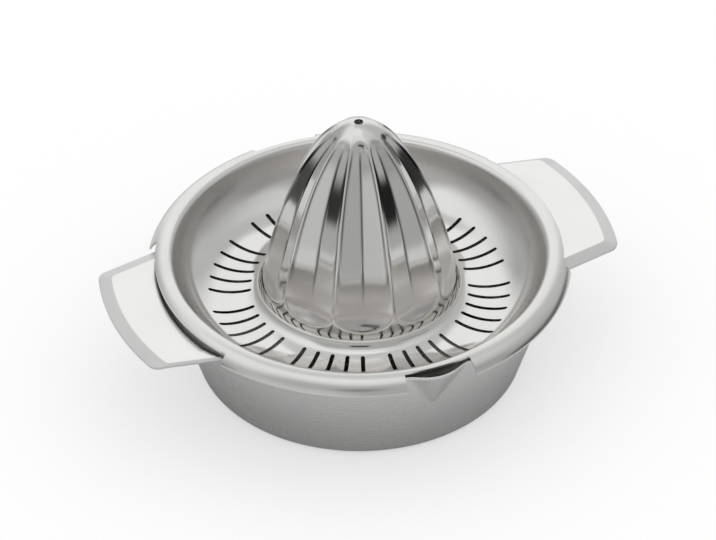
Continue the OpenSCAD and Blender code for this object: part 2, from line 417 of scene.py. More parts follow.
@dataclass(frozen=True)
class SteelFinish:
    """A steel surface, from mirror polish to satin."""

    name: str
    colour: Colour
    tone: Colour
    rough: float
    rough_lines: float
    rough_marks: float
    line_depth: float
    density: float = 5200.0
    breaks: float = 5.0
    mark_size: float = 34.0
    grain: Grain = Grain.ROUND
    band: tuple[float, float] | None = None
    band_rough: float = 0.0
    # Grey that the painted shade in the creases darkens the colour towards.
    painted_shade_level: float = 1.0
    haze: Colour | None = None
    haze_rough: float = 0.0

    def material(self, effects: SteelEffects) -> bpy.types.Material:
        """Builds the finish.

        Args:
            effects: Node groups shared by the finishes.

        Returns:
            The material.
        """
        made = bpy.data.materials.new(self.name)
        made.use_nodes = True
        work = Shader(made.node_tree)
        steel = made.node_tree.nodes["Principled BSDF"]
        steel.inputs["Metallic"].default_value = 1.0
        place = work.node("ShaderNodeTexCoord").outputs["Object"]
        lines = work.group(effects.lines, Coordinates=place, Density=self.density, Breaks=self.breaks,
                           Round=1.0 if self.grain is Grain.ROUND else 0.0).outputs[0]
        marks = work.group(effects.marks, Coordinates=place, Size=self.mark_size).outputs[0]
        colour = work.mix(marks, (*self.colour, 1.0), (*self.tone, 1.0))
        rough = work.math("MULTIPLY_ADD", lines, self.rough_lines)
        rough.node.inputs[2].default_value = self.rough - 0.5 * self.rough_lines
        rough = work.math("ADD", rough, work.math("MULTIPLY", marks, self.rough_marks))
        # The haze attribute tints the cone's foot darker and warmer; on the dish's inner wall it also darkens the
        # colour as a painted reflection.
        if self.haze is not None:
            haze = work.node("ShaderNodeAttribute", attribute_name=HAZE).outputs["Fac"]
            colour = work.mix(haze, colour, (*self.haze, 1.0))
            rough = work.math("ADD", rough, work.math("MULTIPLY", haze, self.haze_rough))
        # Painted shade and highlight: the crease attribute darkens the colour in the valleys, beside the ridges and
        # on the dish's inner wall, and lightens it towards white on the ridge crests.
        if self.painted_shade_level < 1.0:
            crease = work.node("ShaderNodeAttribute", attribute_name=PAINTED_SHADE_AND_GLINT).outputs["Fac"]
            colour = work.mix(crease, colour, grey(self.painted_shade_level))
            colour = work.mix(work.math("MULTIPLY", crease, -1.0), colour, grey(1.0))
        work.join(colour, steel.inputs["Base Color"])
        if self.band is not None:
            mask = work.group(effects.band, Coordinates=place, Start=self.band[0] * MM,
                              End=self.band[1] * MM).outputs[0]
            rough = work.math("ADD", rough, work.math("MULTIPLY", mask, self.band_rough))
        work.join(work.math("MAXIMUM", rough, 0.02, hold=True), steel.inputs["Roughness"])
        bump = work.node("ShaderNodeBump")
        bump.inputs["Strength"].default_value = 0.5
        bump.inputs["Distance"].default_value = self.line_depth
        work.join(lines, bump.inputs["Height"])
        work.join(bump.outputs[0], steel.inputs["Normal"])
        return made


@dataclass
class ReamerTop:
    """One-piece pressed top: fluted cone, slotted gutter dish, rounded rim and notched skirt."""

    sheet: float = 0.8
    crest_r: float = 70.3
    crest_z: float = 46.118
    skirt_round: float = 7.5
    skirt_angle: float = 67.0
    rim_inner_round: float = 2.6
    dish_depth: float = 18.3
    gutter_r: float = 46.45
    cone_fillet: float = 5.5
    cone_base_r: float = 35.45
    cone_height: float = 70.0
    cone_taper: float = 0.705
    cone_blunt: float = 0.602
    cone_curl: float = 2.98
    cone_foot: float = 7.0
    flutes: int = 10
    flute_depth: float = 3.7
    flute_start: float = 1.4
    flute_end: float = 7.0
    flute_run_in: float = 2.4
    flute_top: float = 0.968
    flute_top_end: float = 5.0
    flute_least: float = 0.25
    flute_narrowing: float = 1.1
    flute_edge_soft: float = 0.25
    flute_turn: float = 34.1
    ridge_round: float = 0.3
    ridge_bead: float = 0.5
    ridge_bead_w: float = 0.6
    valley_round: float = 0.4
    valley_soft: float = 3.0
    valley_soft_run: float = 9.0
    valley_crease: float = 0.25
    valley_crease_w: float = 0.35
    # Widths and strengths of the painted shade lines and of the painted highlights on the ridge crests.
    valley_line: float = 0.42
    valley_shade: float = 0.85
    ridge_line: float = 0.32
    ridge_glint: float = 0.6
    firm_top: float = 0.6
    haze_top: float = 24.0
    haze_run: float = 14.0
    # Ring on the dish's inner wall: rougher, and darker in colour as a painted reflection of the wall's dark band.
    dull_ring: tuple[float, float] = (61.0, 68.9)
    dull_soft: tuple[float, float] = (3.5, 1.6)
    ring_haze_and_shade: float = 0.8
    ring_shade: float = 0.06
    vent_r: float = 1.65
    slot_groups: int = 8
    slots_in_group: int = 5
    slot_step: float = 7.765
    slot_w: float = 1.55
    slot_len: float = 15.7
    slot_start: float = 4.25
    slot_turn: float = 8.6
    punch_high: float = 0.6
    punch_low: float = 3.0
    handle_notch: float = 28.08
    handle_notch_r: float = 74.44
    lip_notch: float = 9.9
    lip_notch_r: float = 71.8
    notch_over: float = 4.0
    notch_out: float = 6.0
    steps_in_flute: int = 28
    gather: float = 0.78
    foot_reach: float = 0.5
    foot_below: float = 1.2
    upper_rows: int = 62
    upper_share: float = 0.78
    upper_crowding: float = 1.7
    foot_rows: int = 24
    gutter_z: float = field(init=False)
    base_z: float = field(init=False)
    upper: list[SheetPoint] = field(init=False)
    cone_points: int = field(init=False)

    def __post_init__(self) -> None:
        """Works out the section that the sheet is pressed to."""
        run = self.crest_r - self.gutter_r
        lift = self.dish_depth - self.rim_inner_round
        dish = (run ** 2 + lift ** 2 - self.rim_inner_round ** 2) / (2.0 * self.dish_depth)
        sweep = 90.0 - math.degrees(math.atan((dish - lift) / run))
        reach = self.gutter_r - self.cone_base_r - self.cone_fillet
        inward = math.degrees(math.asin(reach / (dish - self.cone_fillet)))
        self.gutter_z = self.crest_z - self.dish_depth
        self.base_z = self.gutter_z + dish - math.sqrt((dish - self.cone_fillet) ** 2 - reach ** 2)
        cone = self._cone_line()
        self.cone_points = len(cone)
        self.upper = (
            cone
            + arc((self.cone_base_r + self.cone_fillet, self.base_z), self.cone_fillet, 180.0,
                  270.0 - inward, 16, -1)[1:]
            + arc((self.gutter_r, self.gutter_z + dish), dish, 270.0 - inward, 270.0 + sweep, 36, -1)[1:]
            + arc((self.crest_r, self.crest_z - self.rim_inner_round), self.rim_inner_round,
                  90.0 + sweep, 90.0, 8, 1)[1:]
            + arc((self.crest_r, self.crest_z - self.skirt_round), self.skirt_round, 90.0,
                  90.0 - self.skirt_angle, 16, 1)[1:])

    def _rise(self, u: float) -> tuple[float, float]:
        """Returns how far the outline has run at a share u of the height, upright at its foot, and its rate."""
        foot = self.cone_foot / self.cone_height
        full = math.hypot(1.0, foot) - foot
        far = math.hypot(u, foot)
        return (far - foot) / full, u / far / full

    def cone_r(self, u: float) -> float:
        """Returns the plain cone's radius at a share u of its height."""
        s, _ = self._rise(clamp(u))
        inner = 1.0 - self.cone_taper * s - (1.0 - self.cone_taper) * s ** self.cone_curl
        return self.cone_base_r * max(inner, 0.0) ** self.cone_blunt

    def _cone_line(self) -> list[SheetPoint]:
        """Points of the plain cone from the vent hole down to its foot."""
        low, high = 0.9, 1.0
        for _ in range(50):
            middle = 0.5 * (low + high)
            low, high = (middle, high) if self.cone_r(middle) > self.vent_r else (low, middle)
        shares = [low * (1.0 - (i / self.upper_rows) ** self.upper_crowding * self.upper_share)
                  for i in range(self.upper_rows + 1)]
        last = shares[-1]
        shares += [last * (1.0 - i / self.foot_rows) for i in range(1, self.foot_rows + 1)]
        points = []
        for u in shares:
            s, rate = self._rise(u)
            fall = rate * (self.cone_taper
                           + (1.0 - self.cone_taper) * self.cone_curl * s ** (self.cone_curl - 1.0))
            inner = (self.cone_r(u) / self.cone_base_r) ** (1.0 / self.cone_blunt)
            slope = (-self.cone_base_r * self.cone_blunt * inner ** (self.cone_blunt - 1.0) * fall
                     / self.cone_height)
            size = math.hypot(1.0, slope)
            points.append(SheetPoint(self.cone_r(u), self.base_z + u * self.cone_height, 1.0 / size, -slope / size))
        return points

    def flute_cut(self, u: float, angle: float) -> float:
        """Depth of the V-shaped flutes below the plain cone.

        Args:
            u: Share of the cone's height.
            angle: Angle from the flute's valley in degrees.

        Returns:
            The depth in millimetres.
        """
        r = self.cone_r(u)
        h = u * self.cone_height - self.flute_start
        t = (self.flute_top - u) * self.cone_height
        if h <= 0.0 or t <= 0.0:
            return 0.0
        half = math.radians(180.0 / self.flutes)
        low, high = clamp(h / self.flute_end), clamp(t / self.flute_top_end)
        w = half * math.sqrt((1.0 - (1.0 - low) ** 2) * (1.0 - (1.0 - high) ** 2))
        share = (1.0 - math.exp(-h / self.flute_run_in)) * ease(high)
        turn = abs(math.radians(angle))
        a = half - math.hypot(half - turn, self.ridge_round / r)
        a = math.hypot(a, (self.valley_round + self.valley_soft * math.exp(-h / self.valley_soft_run)) / r)
        size = math.hypot((r / self.cone_base_r) ** self.flute_narrowing, self.flute_least)
        v = r - (self.flute_depth - self.ridge_bead) * share * size
        side = v * r * math.sin(w) / (r * math.sin(w) * math.cos(a) - (r * math.cos(w) - v) * math.sin(a))
        bead = self.ridge_bead * share * (1.0 - math.exp(-(r * max(w - turn, 0.0) / self.ridge_bead_w) ** 2))
        crease = self.valley_crease * math.exp(-(r * turn / self.valley_crease_w) ** 2)
        return smooth_max(r - side, 0.0, self.flute_edge_soft) + bead + crease * self._firmness(u)

    def _firmness(self, u: float) -> float:
        """Returns how clearly the ridges and valleys stand out at a share u of the cone's height, 0 to 1."""
        above = u * self.cone_height - self.flute_start - self.flute_end
        below = (self.flute_top - u) * self.cone_height - self.firm_top * self.flute_top_end
        return ease(above / (2.0 * self.flute_end)) * ease(below / self.flute_top_end)

    def _paint_shade_and_glints(self, mesh: bpy.types.Mesh) -> None:
        """Writes painted light and the dull foot as attributes: painted shade lines in the valleys and beside the
        ridges, painted highlights on the ridge crests, and the dull ring with its painted dark reflection.

        Args:
            mesh: The carved top.
        """
        pitch = FULL_TURN / self.flutes
        painted_light_values = mesh.attributes.new(PAINTED_SHADE_AND_GLINT, "FLOAT", "POINT").data
        hazes = mesh.attributes.new(HAZE, "FLOAT", "POINT").data
        for v in mesh.vertices:
            r = math.hypot(v.co.x, v.co.y)
            u = (v.co.z / MM - self.base_z) / self.cone_height
            # Dish ring: a rougher finish, and a painted dark reflection in its colour.
            ring = (ease((r / MM - self.dull_ring[0]) / self.dull_soft[0])
                    * ease((self.dull_ring[1] - r / MM) / self.dull_soft[1]))
            painted_light_values[v.index].value, hazes[v.index].value = self.ring_shade * ring, self.ring_haze_and_shade * ring
            if u <= 0.0 or r > (self.cone_base_r + self.foot_reach) * MM:
                continue
            turn = (math.atan2(v.co.y, v.co.x) - math.radians(self.flute_turn)) / pitch
            off = abs(turn - round(turn)) * pitch * r / MM
            edge = pitch / 2.0 * r / MM - off
            # Painted shade in the valley and beside the ridge, painted highlight on the crest.
            valley = self.valley_shade * math.exp(-(off / self.valley_line) ** 2)
            beside_shade = math.exp(-((edge - self.ridge_bead_w) / self.ridge_line) ** 2)
            crest_glint = math.exp(-(edge / (self.ridge_glint * self.ridge_bead_w)) ** 2)
            painted_light_values[v.index].value = (max(valley, beside_shade) - crest_glint) * self._firmness(u)
            hazes[v.index].value = ease((self.haze_top - u * self.cone_height) / self.haze_run)

    def _press_flutes(self, bm: bmesh.types.BMesh, under: list[SheetPoint]) -> None:
        """Turns the spun lines to the flutes' pattern and presses the flutes into the cone.

        Args:
            bm: Spun mesh of both faces.
            under: Section of the under face.
        """
        pitch = 360.0 / self.flutes
        cone = self.upper[:self.cone_points]
        under_cone = sorted((p.z, (q.z - self.base_z) / self.cone_height)
                            for p, q in zip(under[:self.cone_points], cone))
        heights, shares = [z for z, _ in under_cone], [u for _, u in under_cone]
        below = {v for f in bm.faces if f.material_index == SheetFace.UNDER.value for v in f.verts}
        for v in bm.verts:
            r = math.hypot(v.co.x, v.co.y) / MM
            z = v.co.z / MM
            turn = math.degrees(math.atan2(v.co.y, v.co.x))
            flute = round(turn / pitch)
            x = 2.0 * (turn / pitch - flute)
            off = (x - self.gather * math.sin(FULL_TURN * x) / FULL_TURN) * pitch / 2.0
            if r < self.cone_base_r + self.foot_reach and z > self.base_z - self.foot_below:
                u = along(z, heights, shares) if v in below else (z - self.base_z) / self.cone_height
                r -= self.flute_cut(u, off)
            a = math.radians(self.flute_turn + flute * pitch + off)
            v.co.x, v.co.y = r * MM * math.cos(a), r * MM * math.sin(a)

    def _pressing(self) -> bpy.types.Object:
        """Spins both faces of the sheet, closes its edges and presses the flutes."""
        half = self.sheet / 2.0
        under = [p.under(self.sheet) for p in self.upper]
        end, start = self.upper[-1], self.upper[0]
        edge = [(end.r - half * end.nr + half * (math.cos(t) * end.nr + math.sin(t) * end.nz),
                 end.z - half * end.nz + half * (math.cos(t) * end.nz - math.sin(t) * end.nr))
                for t in (math.radians(d) for d in range(30, 180, 30))]
        upper_line = [(p.r, p.z) for p in self.upper] + edge[:3]
        thinned = under[:self.cone_points:2] + under[self.cone_points + 1::2]
        if thinned[-1] != under[-1]:
            thinned.append(under[-1])
        under_line = [(max(p.r, self.vent_r), p.z) for p in thinned] + edge[:1:-1]
        bm = bmesh.new()
        steps = self.flutes * self.steps_in_flute
        for f in spin_line(bm, upper_line, steps):
            f.material_index = SheetFace.UPPER.value
        for f in spin_line(bm, under_line, steps):
            f.material_index = SheetFace.UNDER.value
        bmesh.ops.remove_doubles(bm, verts=bm.verts[:], dist=2e-6)
        self._press_flutes(bm, under)
        rim = [e for e in bm.edges if e.is_boundary]
        for f in bmesh.ops.bridge_loops(bm, edges=rim)["faces"]:
            f.material_index = SheetFace.CUT.value
        close_mesh(bm)
        return as_object(bm, "juicer_top", sharp=50.0)

    def _slot_cutter(self, bm: bmesh.types.BMesh) -> None:
        """Adds one rounded block for each juice slot."""
        height = self.dish_depth * self.punch_high + self.punch_low
        middle = self.cone_base_r + self.slot_start + self.slot_len / 2.0
        for group in range(self.slot_groups):
            for k in range(self.slots_in_group):
                turn = (self.slot_turn + 360.0 * group / self.slot_groups
                        + (k - (self.slots_in_group - 1) / 2.0) * self.slot_step)
                block = bmesh.ops.create_cube(bm, size=1.0)["verts"]
                bmesh.ops.scale(bm, vec=Vector((self.slot_len, self.slot_w, height)) * MM, verts=block)
                lift = self.gutter_z - self.punch_low + height / 2.0
                bmesh.ops.translate(bm, vec=Vector((middle, 0.0, lift)) * MM, verts=block)
                upright = [e for e in {e for v in block for e in v.link_edges}
                           if abs(e.verts[0].co.z - e.verts[1].co.z) > 1e-4]
                ends = bmesh.ops.bevel(bm, geom=upright, offset=self.slot_w * 0.499 * MM, offset_type="OFFSET",
                                       affect="EDGES", segments=5, profile=0.5, material=-1, clamp_overlap=False)
                verts = {v for f in ends["faces"] for v in f.verts} | {v for v in block if v.is_valid}
                bmesh.ops.rotate(bm, cent=(0, 0, 0), matrix=Matrix.Rotation(math.radians(turn), 3, "Z"),
                                 verts=list(verts))

    def _notch_cutter(self, bm: bmesh.types.BMesh, from_r: float, half: float, turn: float) -> None:
        """Adds a sector that clears a handle or the lip from the skirt.

        Args:
            bm: Mesh that takes the sector.
            from_r: Radius where the notch begins, in millimetres.
            half: Half its angle in degrees.
            turn: Direction of its middle in degrees.
        """
        low, high = self.crest_z - self.skirt_round, self.crest_z + self.notch_over
        to_r = self.crest_r + self.skirt_round + self.notch_out
        a = math.radians(turn - half)
        corners = [(from_r, low), (to_r, low), (to_r, high), (from_r, high)]
        verts = [bm.verts.new((r * math.cos(a) * MM, r * math.sin(a) * MM, z * MM)) for r, z in corners]
        face = bm.faces.new(verts)
        bmesh.ops.spin(bm, geom=[face, *face.edges, *face.verts], cent=(0, 0, 0), axis=(0, 0, 1),
                       dvec=(0, 0, 0), angle=math.radians(2.0 * half), steps=max(6, int(half * 1.5)),
                       use_merge=False, use_normal_flip=False, use_duplicate=False)

    def _carve(self, piece: bpy.types.Object) -> None:
        """Cuts the juice slots and the skirt's notches out of the pressing."""
        bm = bmesh.new()
        self._slot_cutter(bm)
        for turn in (0.0, 180.0):
            self._notch_cutter(bm, self.handle_notch_r, self.handle_notch, turn)
        for turn in (90.0, 270.0):
            self._notch_cutter(bm, self.lip_notch_r, self.lip_notch, turn)
        bmesh.ops.recalc_face_normals(bm, faces=bm.faces[:])
        for f in bm.faces:
            f.material_index = SheetFace.CUT.value
        cutter = as_object(bm, "punch")
        for holder in (piece, cutter):
            for _ in SheetFace:
                holder.data.materials.append(None)
        carve = piece.modifiers.new("carve", "BOOLEAN")
        carve.operation = "DIFFERENCE"
        carve.solver = "EXACT"
        carve.material_mode = "INDEX"
        carve.object = cutter
        worked = bpy.data.meshes.new_from_object(
            piece.evaluated_get(bpy.context.evaluated_depsgraph_get()))
        piece.modifiers.clear()
        plain, piece.data = piece.data, worked
        bpy.data.meshes.remove(plain)
        bpy.data.objects.remove(cutter)
        worked.name = "juicer_top"

    def _true_normals(self, piece: bpy.types.Object) -> None:
        """Gives the dish and rim the exact directions of their section, so that reflections run smoothly."""
        mesh = piece.data
        mesh.set_sharp_from_angle(angle=math.radians(40.0))
        first = self.cone_points + 2
        faces = {}
        for face, points in ((SheetFace.UPPER, self.upper),
                             (SheetFace.UNDER, [p.under(self.sheet) for p in self.upper])):
            kept = points[first:]
            faces[face.value] = ([p.r for p in kept], [p.nr for p in kept], [p.nz for p in kept])
        normals = [Vector((0.0, 0.0, 0.0))] * len(mesh.loops)
        for polygon in mesh.polygons:
            if polygon.material_index not in faces:
                continue
            rs, nrs, nzs = faces[polygon.material_index]
            for loop in polygon.loop_indices:
                co = mesh.vertices[mesh.loops[loop].vertex_index].co
                r = math.hypot(co.x, co.y)
                if rs[0] < r / MM < rs[-1] - 0.02:
                    nr, nz = along(r / MM, rs, nrs), along(r / MM, rs, nzs)
                    normals[loop] = Vector((nr * co.x / r, nr * co.y / r, nz)).normalized()
        mesh.normals_split_custom_set(normals)

    def build(self, finishes: dict[SheetFace, bpy.types.Material]) -> bpy.types.Object:
        """Builds and dresses the top.

        Args:
            finishes: Material for each face of the sheet.

        Returns:
            The piece.
        """
        piece = self._pressing()
        self._carve(piece)
        self._true_normals(piece)
        self._paint_shade_and_glints(piece.data)
        piece.data.materials.clear()
        for face in SheetFace:
            piece.data.materials.append(finishes[face])
        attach(piece, "top")
        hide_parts("reamer_strainer")
        return piece


@dataclass
class JuiceBowl:
    """Pressed bowl with a flat base, a leaning wall, a cut edge and one pouring lip."""

    sheet: float = 0.8
    height: float = 44.5
    rim_r: float = 73.0
    flare: float = 13.5
    base_round: float = 3.0
    lip_reach: float = 2.9
    lip_fall: float = 17.5
    lip_cone: float = 42.0
    lip_soft: float = 1.4
    lip_zone: float = 0.3
    gather: float = 0.6
    wall_rows: int = 44
    floor_rows: int = 12
    steps: int = 300
    slope: float = field(init=False)
    base_r: float = field(init=False)

    def __post_init__(self) -> None:
        """Works out the wall's slope."""
        self.slope = self.flare / self.height
        self.base_r = self.rim_r - self.flare

    def wall_r(self, z: float) -> float:
        """Returns the outer radius of the wall at a height."""
        return self.base_r + self.slope * z

    def _face_line(self, depth: float) -> Outline:
        """Section of one face from the middle of the base up to the edge.

        Args:
            depth: How far the face lies behind the outer one, in millimetres.

        Returns:
            Radii and heights.
        """
        lean = math.atan(self.slope)
        bend = self.base_round - depth
        side = self.base_r - depth / math.cos(lean)
        centre = (side + self.slope * depth - bend / math.cos(lean) + self.slope * bend, depth + bend)
        turn = 90.0 - math.degrees(lean)
        corner = arc(centre, bend, -90.0, -90.0 + turn, 8, 1)
        foot = corner[-1].z
        rise = self.height - self.sheet / 2.0 - foot
        wall = [foot + rise * i / self.wall_rows for i in range(1, self.wall_rows + 1)]
        floor = [(corner[0].r * i / self.floor_rows, depth) for i in range(self.floor_rows)]
        return floor + [(p.r, p.z) for p in corner] + [(side + self.slope * z, z) for z in wall]

    def _lip_r(self, z: float, angle: float, depth: float) -> float:
        """Radius of the cone that the lip is pressed to.

        Args:
            z: Height in millimetres.
            angle: Angle from the lip's middle in radians.
            depth: How far the face lies behind the outer one, in millimetres.

        Returns:
            The radius in millimetres, or 0 outside the cone.
        """
        half = math.radians(self.lip_cone)
        tilt = half - math.atan(self.slope + self.lip_reach / self.lip_fall)
        axis = Vector((0.0, math.sin(tilt), math.cos(tilt)))
        z0 = self.height - self.lip_fall
        tip = Vector((0.0, -self.wall_r(z0), z0)) + axis * (depth / math.sin(half))
        ray = Vector((math.sin(angle), -math.cos(angle), 0.0))
        q = Vector((0.0, 0.0, z)) - tip
        k = math.cos(half) ** 2
        a = ray.dot(axis) ** 2 - k
        b = 2.0 * (ray.dot(axis) * q.dot(axis) - k * ray.dot(q))
        c = q.dot(axis) ** 2 - k * q.dot(q)
        inside = b * b - 4.0 * a * c
        if inside <= 0.0 or abs(a) < 1e-9:
            return 0.0
        roots = [(-b + s * math.sqrt(inside)) / (2.0 * a) for s in (1.0, -1.0)]
        fits = [r for r in roots if (q + ray * r).dot(axis) > 0.0]
        return max(fits, default=0.0)

    def _press_lip(self, bm: bmesh.types.BMesh, inner: set[bmesh.types.BMVert]) -> None:
        """Draws the mesh's lines together towards the front and presses the lip into the wall.

        Args:
            bm: Spun mesh of the bowl.
            inner: Vertices of its inner face.
        """
        for v in bm.verts:
            r = math.hypot(v.co.x, v.co.y) / MM
            z = v.co.z / MM
            a = math.atan2(v.co.x, -v.co.y)
            a -= self.gather * math.sin(a)
            if abs(a) < self.lip_zone and z > self.height - self.lip_fall - 3.0:
                depth = self.sheet if v in inner else 0.0
                edge = clamp((z - self.height + self.sheet) / self.sheet) * self.sheet / 2.0
                depth += edge if v not in inner else -edge
                lip = self._lip_r(z, a, depth)
                wall = self.wall_r(z) - depth / math.cos(math.atan(self.slope))
                r += smooth_max(lip, wall, self.lip_soft) - wall
            v.co.x, v.co.y = r * MM * math.sin(a), -r * MM * math.cos(a)

    def build(self, finishes: dict[SheetFace, bpy.types.Material]) -> bpy.types.Object:
        """Builds and dresses the bowl.

        Args:
            finishes: Material for each face of the sheet.

        Returns:
            The piece.
        """
        outer, inner = self._face_line(0.0), self._face_line(self.sheet)
        middle = (0.5 * (outer[-1][0] + inner[-1][0]), self.height - self.sheet / 2.0)
        half = 0.5 * (outer[-1][0] - inner[-1][0])
        turn = [math.radians(d) for d in range(30, 180, 30)]
        edge = [(middle[0] + half * math.cos(t), middle[1] + self.sheet / 2.0 * math.sin(t)) for t in turn]
        bm = bmesh.new()
        for f in spin_line(bm, outer + edge[:3], self.steps):
            f.material_index = SheetFace.UPPER.value
        inside = spin_line(bm, inner + edge[:1:-1], self.steps)
        for f in inside:
            f.material_index = SheetFace.UNDER.value
        self._press_lip(bm, {v for f in inside for v in f.verts})
        close_mesh(bm)
        bmesh.ops.dissolve_degenerate(bm, dist=1e-7, edges=bm.edges[:])
        piece = as_object(bm, "juicer_bowl", sharp=50.0)
        for face in SheetFace:
            piece.data.materials.append(finishes[face])
        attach(piece, "bowl")
        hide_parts("juice_bowl")
        return piece


@dataclass
class SideHandle:
    """Stamped tab with a raised panel and a sloped border, welded under the bowl's edge by a small flange."""

    side: Side
    sheet: float = 1.0
    reach: float = 95.2
    root_w: float = 67.0
    tip_w: float = 58.6
    corner: float = 5.0
    panel_corner: float = 2.6
    panel_z: float = 42.3
    border_w: float = 4.6
    thin_border_w: float = 1.2
    border_slope: float = 0.26
    border_shape: tuple[tuple[float, float], ...] = (
        (0.0, 0.0), (0.12, 0.0), (0.4, 0.0), (0.7, 0.0), (0.9, 0.004), (0.97, 0.012), (1.03, 0.012), (1.1, 0.0))
    flange: float = 3.5
    edge_round: float = 0.22
    root_inset: float = 3.0
    weld_gap: float = 0.02
    side_steps: int = 6
    corner_steps: int = 8
    tip_steps: int = 40
    root_steps: int = 24
    bowl: JuiceBowl = field(default_factory=JuiceBowl)

    def _corner(self, inset: float, outer: float, radius: float) -> tuple[float, float, float]:
        """Centre of an outer corner's rounding.

        Args:
            inset: How far the line lies inside the handle's side, in millimetres.
            outer: How far it lies inside the handle's outer edge, in millimetres.
            radius: Radius of the rounding in millimetres.

        Returns:
            X of the centre, its distance from the handle's middle line, and the side's angle in radians.
        """
        root_x = self.bowl.rim_r - self.root_inset
        tip_x = math.sqrt(self.reach ** 2 - self.tip_w ** 2 / 4.0)
        slope = (self.root_w - self.tip_w) / 2.0 / (tip_x - root_x)
        lean = math.atan(slope)
        line_y = self.root_w / 2.0 + slope * root_x - (inset + radius) / math.cos(lean)
        arm = self.reach - outer - radius
        b, one = slope * line_y, 1.0 + slope * slope
        cx = (b + math.sqrt(b * b - one * (line_y * line_y - arm * arm))) / one
        return cx, line_y - slope * cx, lean

    def _side_line(self, cx: float, cy: float, lean: float, radius: float) -> list[Vector]:
        """Points of a straight side, from the bowl's wall to the corner's rounding.

        Args:
            cx: X of the corner's centre.
            cy: Its distance from the middle line.
            lean: Angle of the side in radians.
            radius: Radius of the rounding.

        Returns:
            The points, for the side towards -Y.
        """
        start = Vector((cx + radius * math.sin(lean), -cy - radius * math.cos(lean)))
        run = Vector((-math.cos(lean), -math.sin(lean)))
        wall = self.bowl.wall_r(self.panel_z) + self.weld_gap
        half_b = start.dot(run)
        root = start + run * (-half_b - math.sqrt(half_b ** 2 - start.length_squared + wall ** 2))
        return [root.lerp(start, i / self.side_steps) for i in range(self.side_steps + 1)]

    def _edge_line(self, bm: bmesh.types.BMesh, share: float, dip: float) -> list[bmesh.types.BMVert]:
        """Draws a line round the three free sides, from root to root.

        Args:
            bm: Mesh that takes the line.
            share: How far across the border the line lies, from 0 at the edge to 1 at the panel.
            dip: How far the line lies below the border's plain slope, in millimetres.

        Returns:
            Its vertices in order.
        """
        radius = self.corner + (self.panel_corner - self.corner) * clamp(share)
        wide, thin = share * self.border_w, share * self.thin_border_w
        fx, fy, lean = self._corner(wide, wide, radius)
        bx, by, _ = self._corner(thin, wide, radius)
        front, back = (self._side_line(x, y, lean, radius) for x, y in ((fx, fy), (bx, by)))
        z = self.panel_z * MM
        chain = [bm.verts.new((*(p * MM), z)) for p in front]
        f_turn, b_turn = math.atan2(fy, fx), math.atan2(by, bx)
        turns = [(Vector((fx, -fy)), math.pi / 2.0 - lean - f_turn, self.corner_steps),
                 (Vector((0.0, 0.0)), f_turn + b_turn, self.tip_steps),
                 (Vector((bx, by)), math.pi / 2.0 - lean - b_turn, self.corner_steps)]
        for centre, angle, steps in turns:
            chain += self._spin_vertex(bm, chain[-1], centre, angle, steps)
        chain += [bm.verts.new((p.x * MM, -p.y * MM, z)) for p in reversed(back[:-1])]
        for pair in zip(chain, chain[1:]):
            if bm.edges.get(pair) is None:
                bm.edges.new(pair)
        thin_from = len(chain) - self.corner_steps - self.side_steps - 1
        for i, v in enumerate(chain):
            thinness = clamp((i - thin_from) / self.corner_steps)
            width = self.border_w + (self.thin_border_w - self.border_w) * thinness
            v.co.z -= (max(1.0 - share, 0.0) * width * self.border_slope + dip) * MM
        return chain

    @staticmethod
    def _spin_vertex(bm: bmesh.types.BMesh, start: bmesh.types.BMVert, centre: Vector, angle: float,
                     steps: int) -> list[bmesh.types.BMVert]:
        """Spins a vertex into a curved line of edges.

        Args:
            bm: Mesh that takes the line.
            start: Vertex to spin.
            centre: Centre of the curve in plan, in millimetres.
            angle: Angle of the curve in radians.
            steps: Number of edges.

        Returns:
            The new vertices in order.
        """
        spun = bmesh.ops.spin(bm, geom=[start], cent=(centre.x * MM, centre.y * MM, start.co.z), axis=(0, 0, 1),
                              dvec=(0, 0, 0), angle=angle, steps=steps, use_merge=False, use_normal_flip=False,
                              use_duplicate=False)
        found = [next(g for g in spun["geom_last"] if isinstance(g, bmesh.types.BMVert))]
        before = None
        while True:
            here = found[-1]
            step = next(e.other_vert(here) for e in here.link_edges if e.other_vert(here) is not before)
            if step is start:
                return found[::-1]
            before = here
            found.append(step)

    def _top_face(self, bm: bmesh.types.BMesh) -> list[bmesh.types.BMVert]:
        """Builds the border strips and the panel.

        Args:
            bm: Mesh that takes the faces.

        Returns:
            Vertices along the root, where the handle meets the bowl.
        """
        lines = [self._edge_line(bm, share, dip) for share, dip in self.border_shape]
        for a, b in zip(lines, lines[1:]):
            edges = [bm.edges.get(pair) for line in (a, b) for pair in zip(line, line[1:])]
            for face in bmesh.ops.bridge_loops(bm, edges=edges)["faces"]:
                face.material_index = 1 if b is not lines[-1] else 0
        inner = lines[-1]
        low, high = (math.atan2(v.co.y, v.co.x) for v in (inner[0], inner[-1]))
        root = [inner[-1]] + self._spin_vertex(bm, inner[-1], Vector((0.0, 0.0)), low - high, self.root_steps)
        bmesh.ops.weld_verts(bm, targetmap={root[-1]: inner[0]})
        root[-1] = inner[0]
        bm.faces.new(inner + root[1:-1])
        bmesh.ops.recalc_face_normals(bm, faces=bm.faces[:])
        if max(bm.faces, key=lambda f: f.calc_area()).normal.z < 0.0:
            bmesh.ops.reverse_faces(bm, faces=bm.faces[:])
        return [line[0] for line in lines] + root[::-1][1:-1] + [line[-1] for line in lines[::-1]]

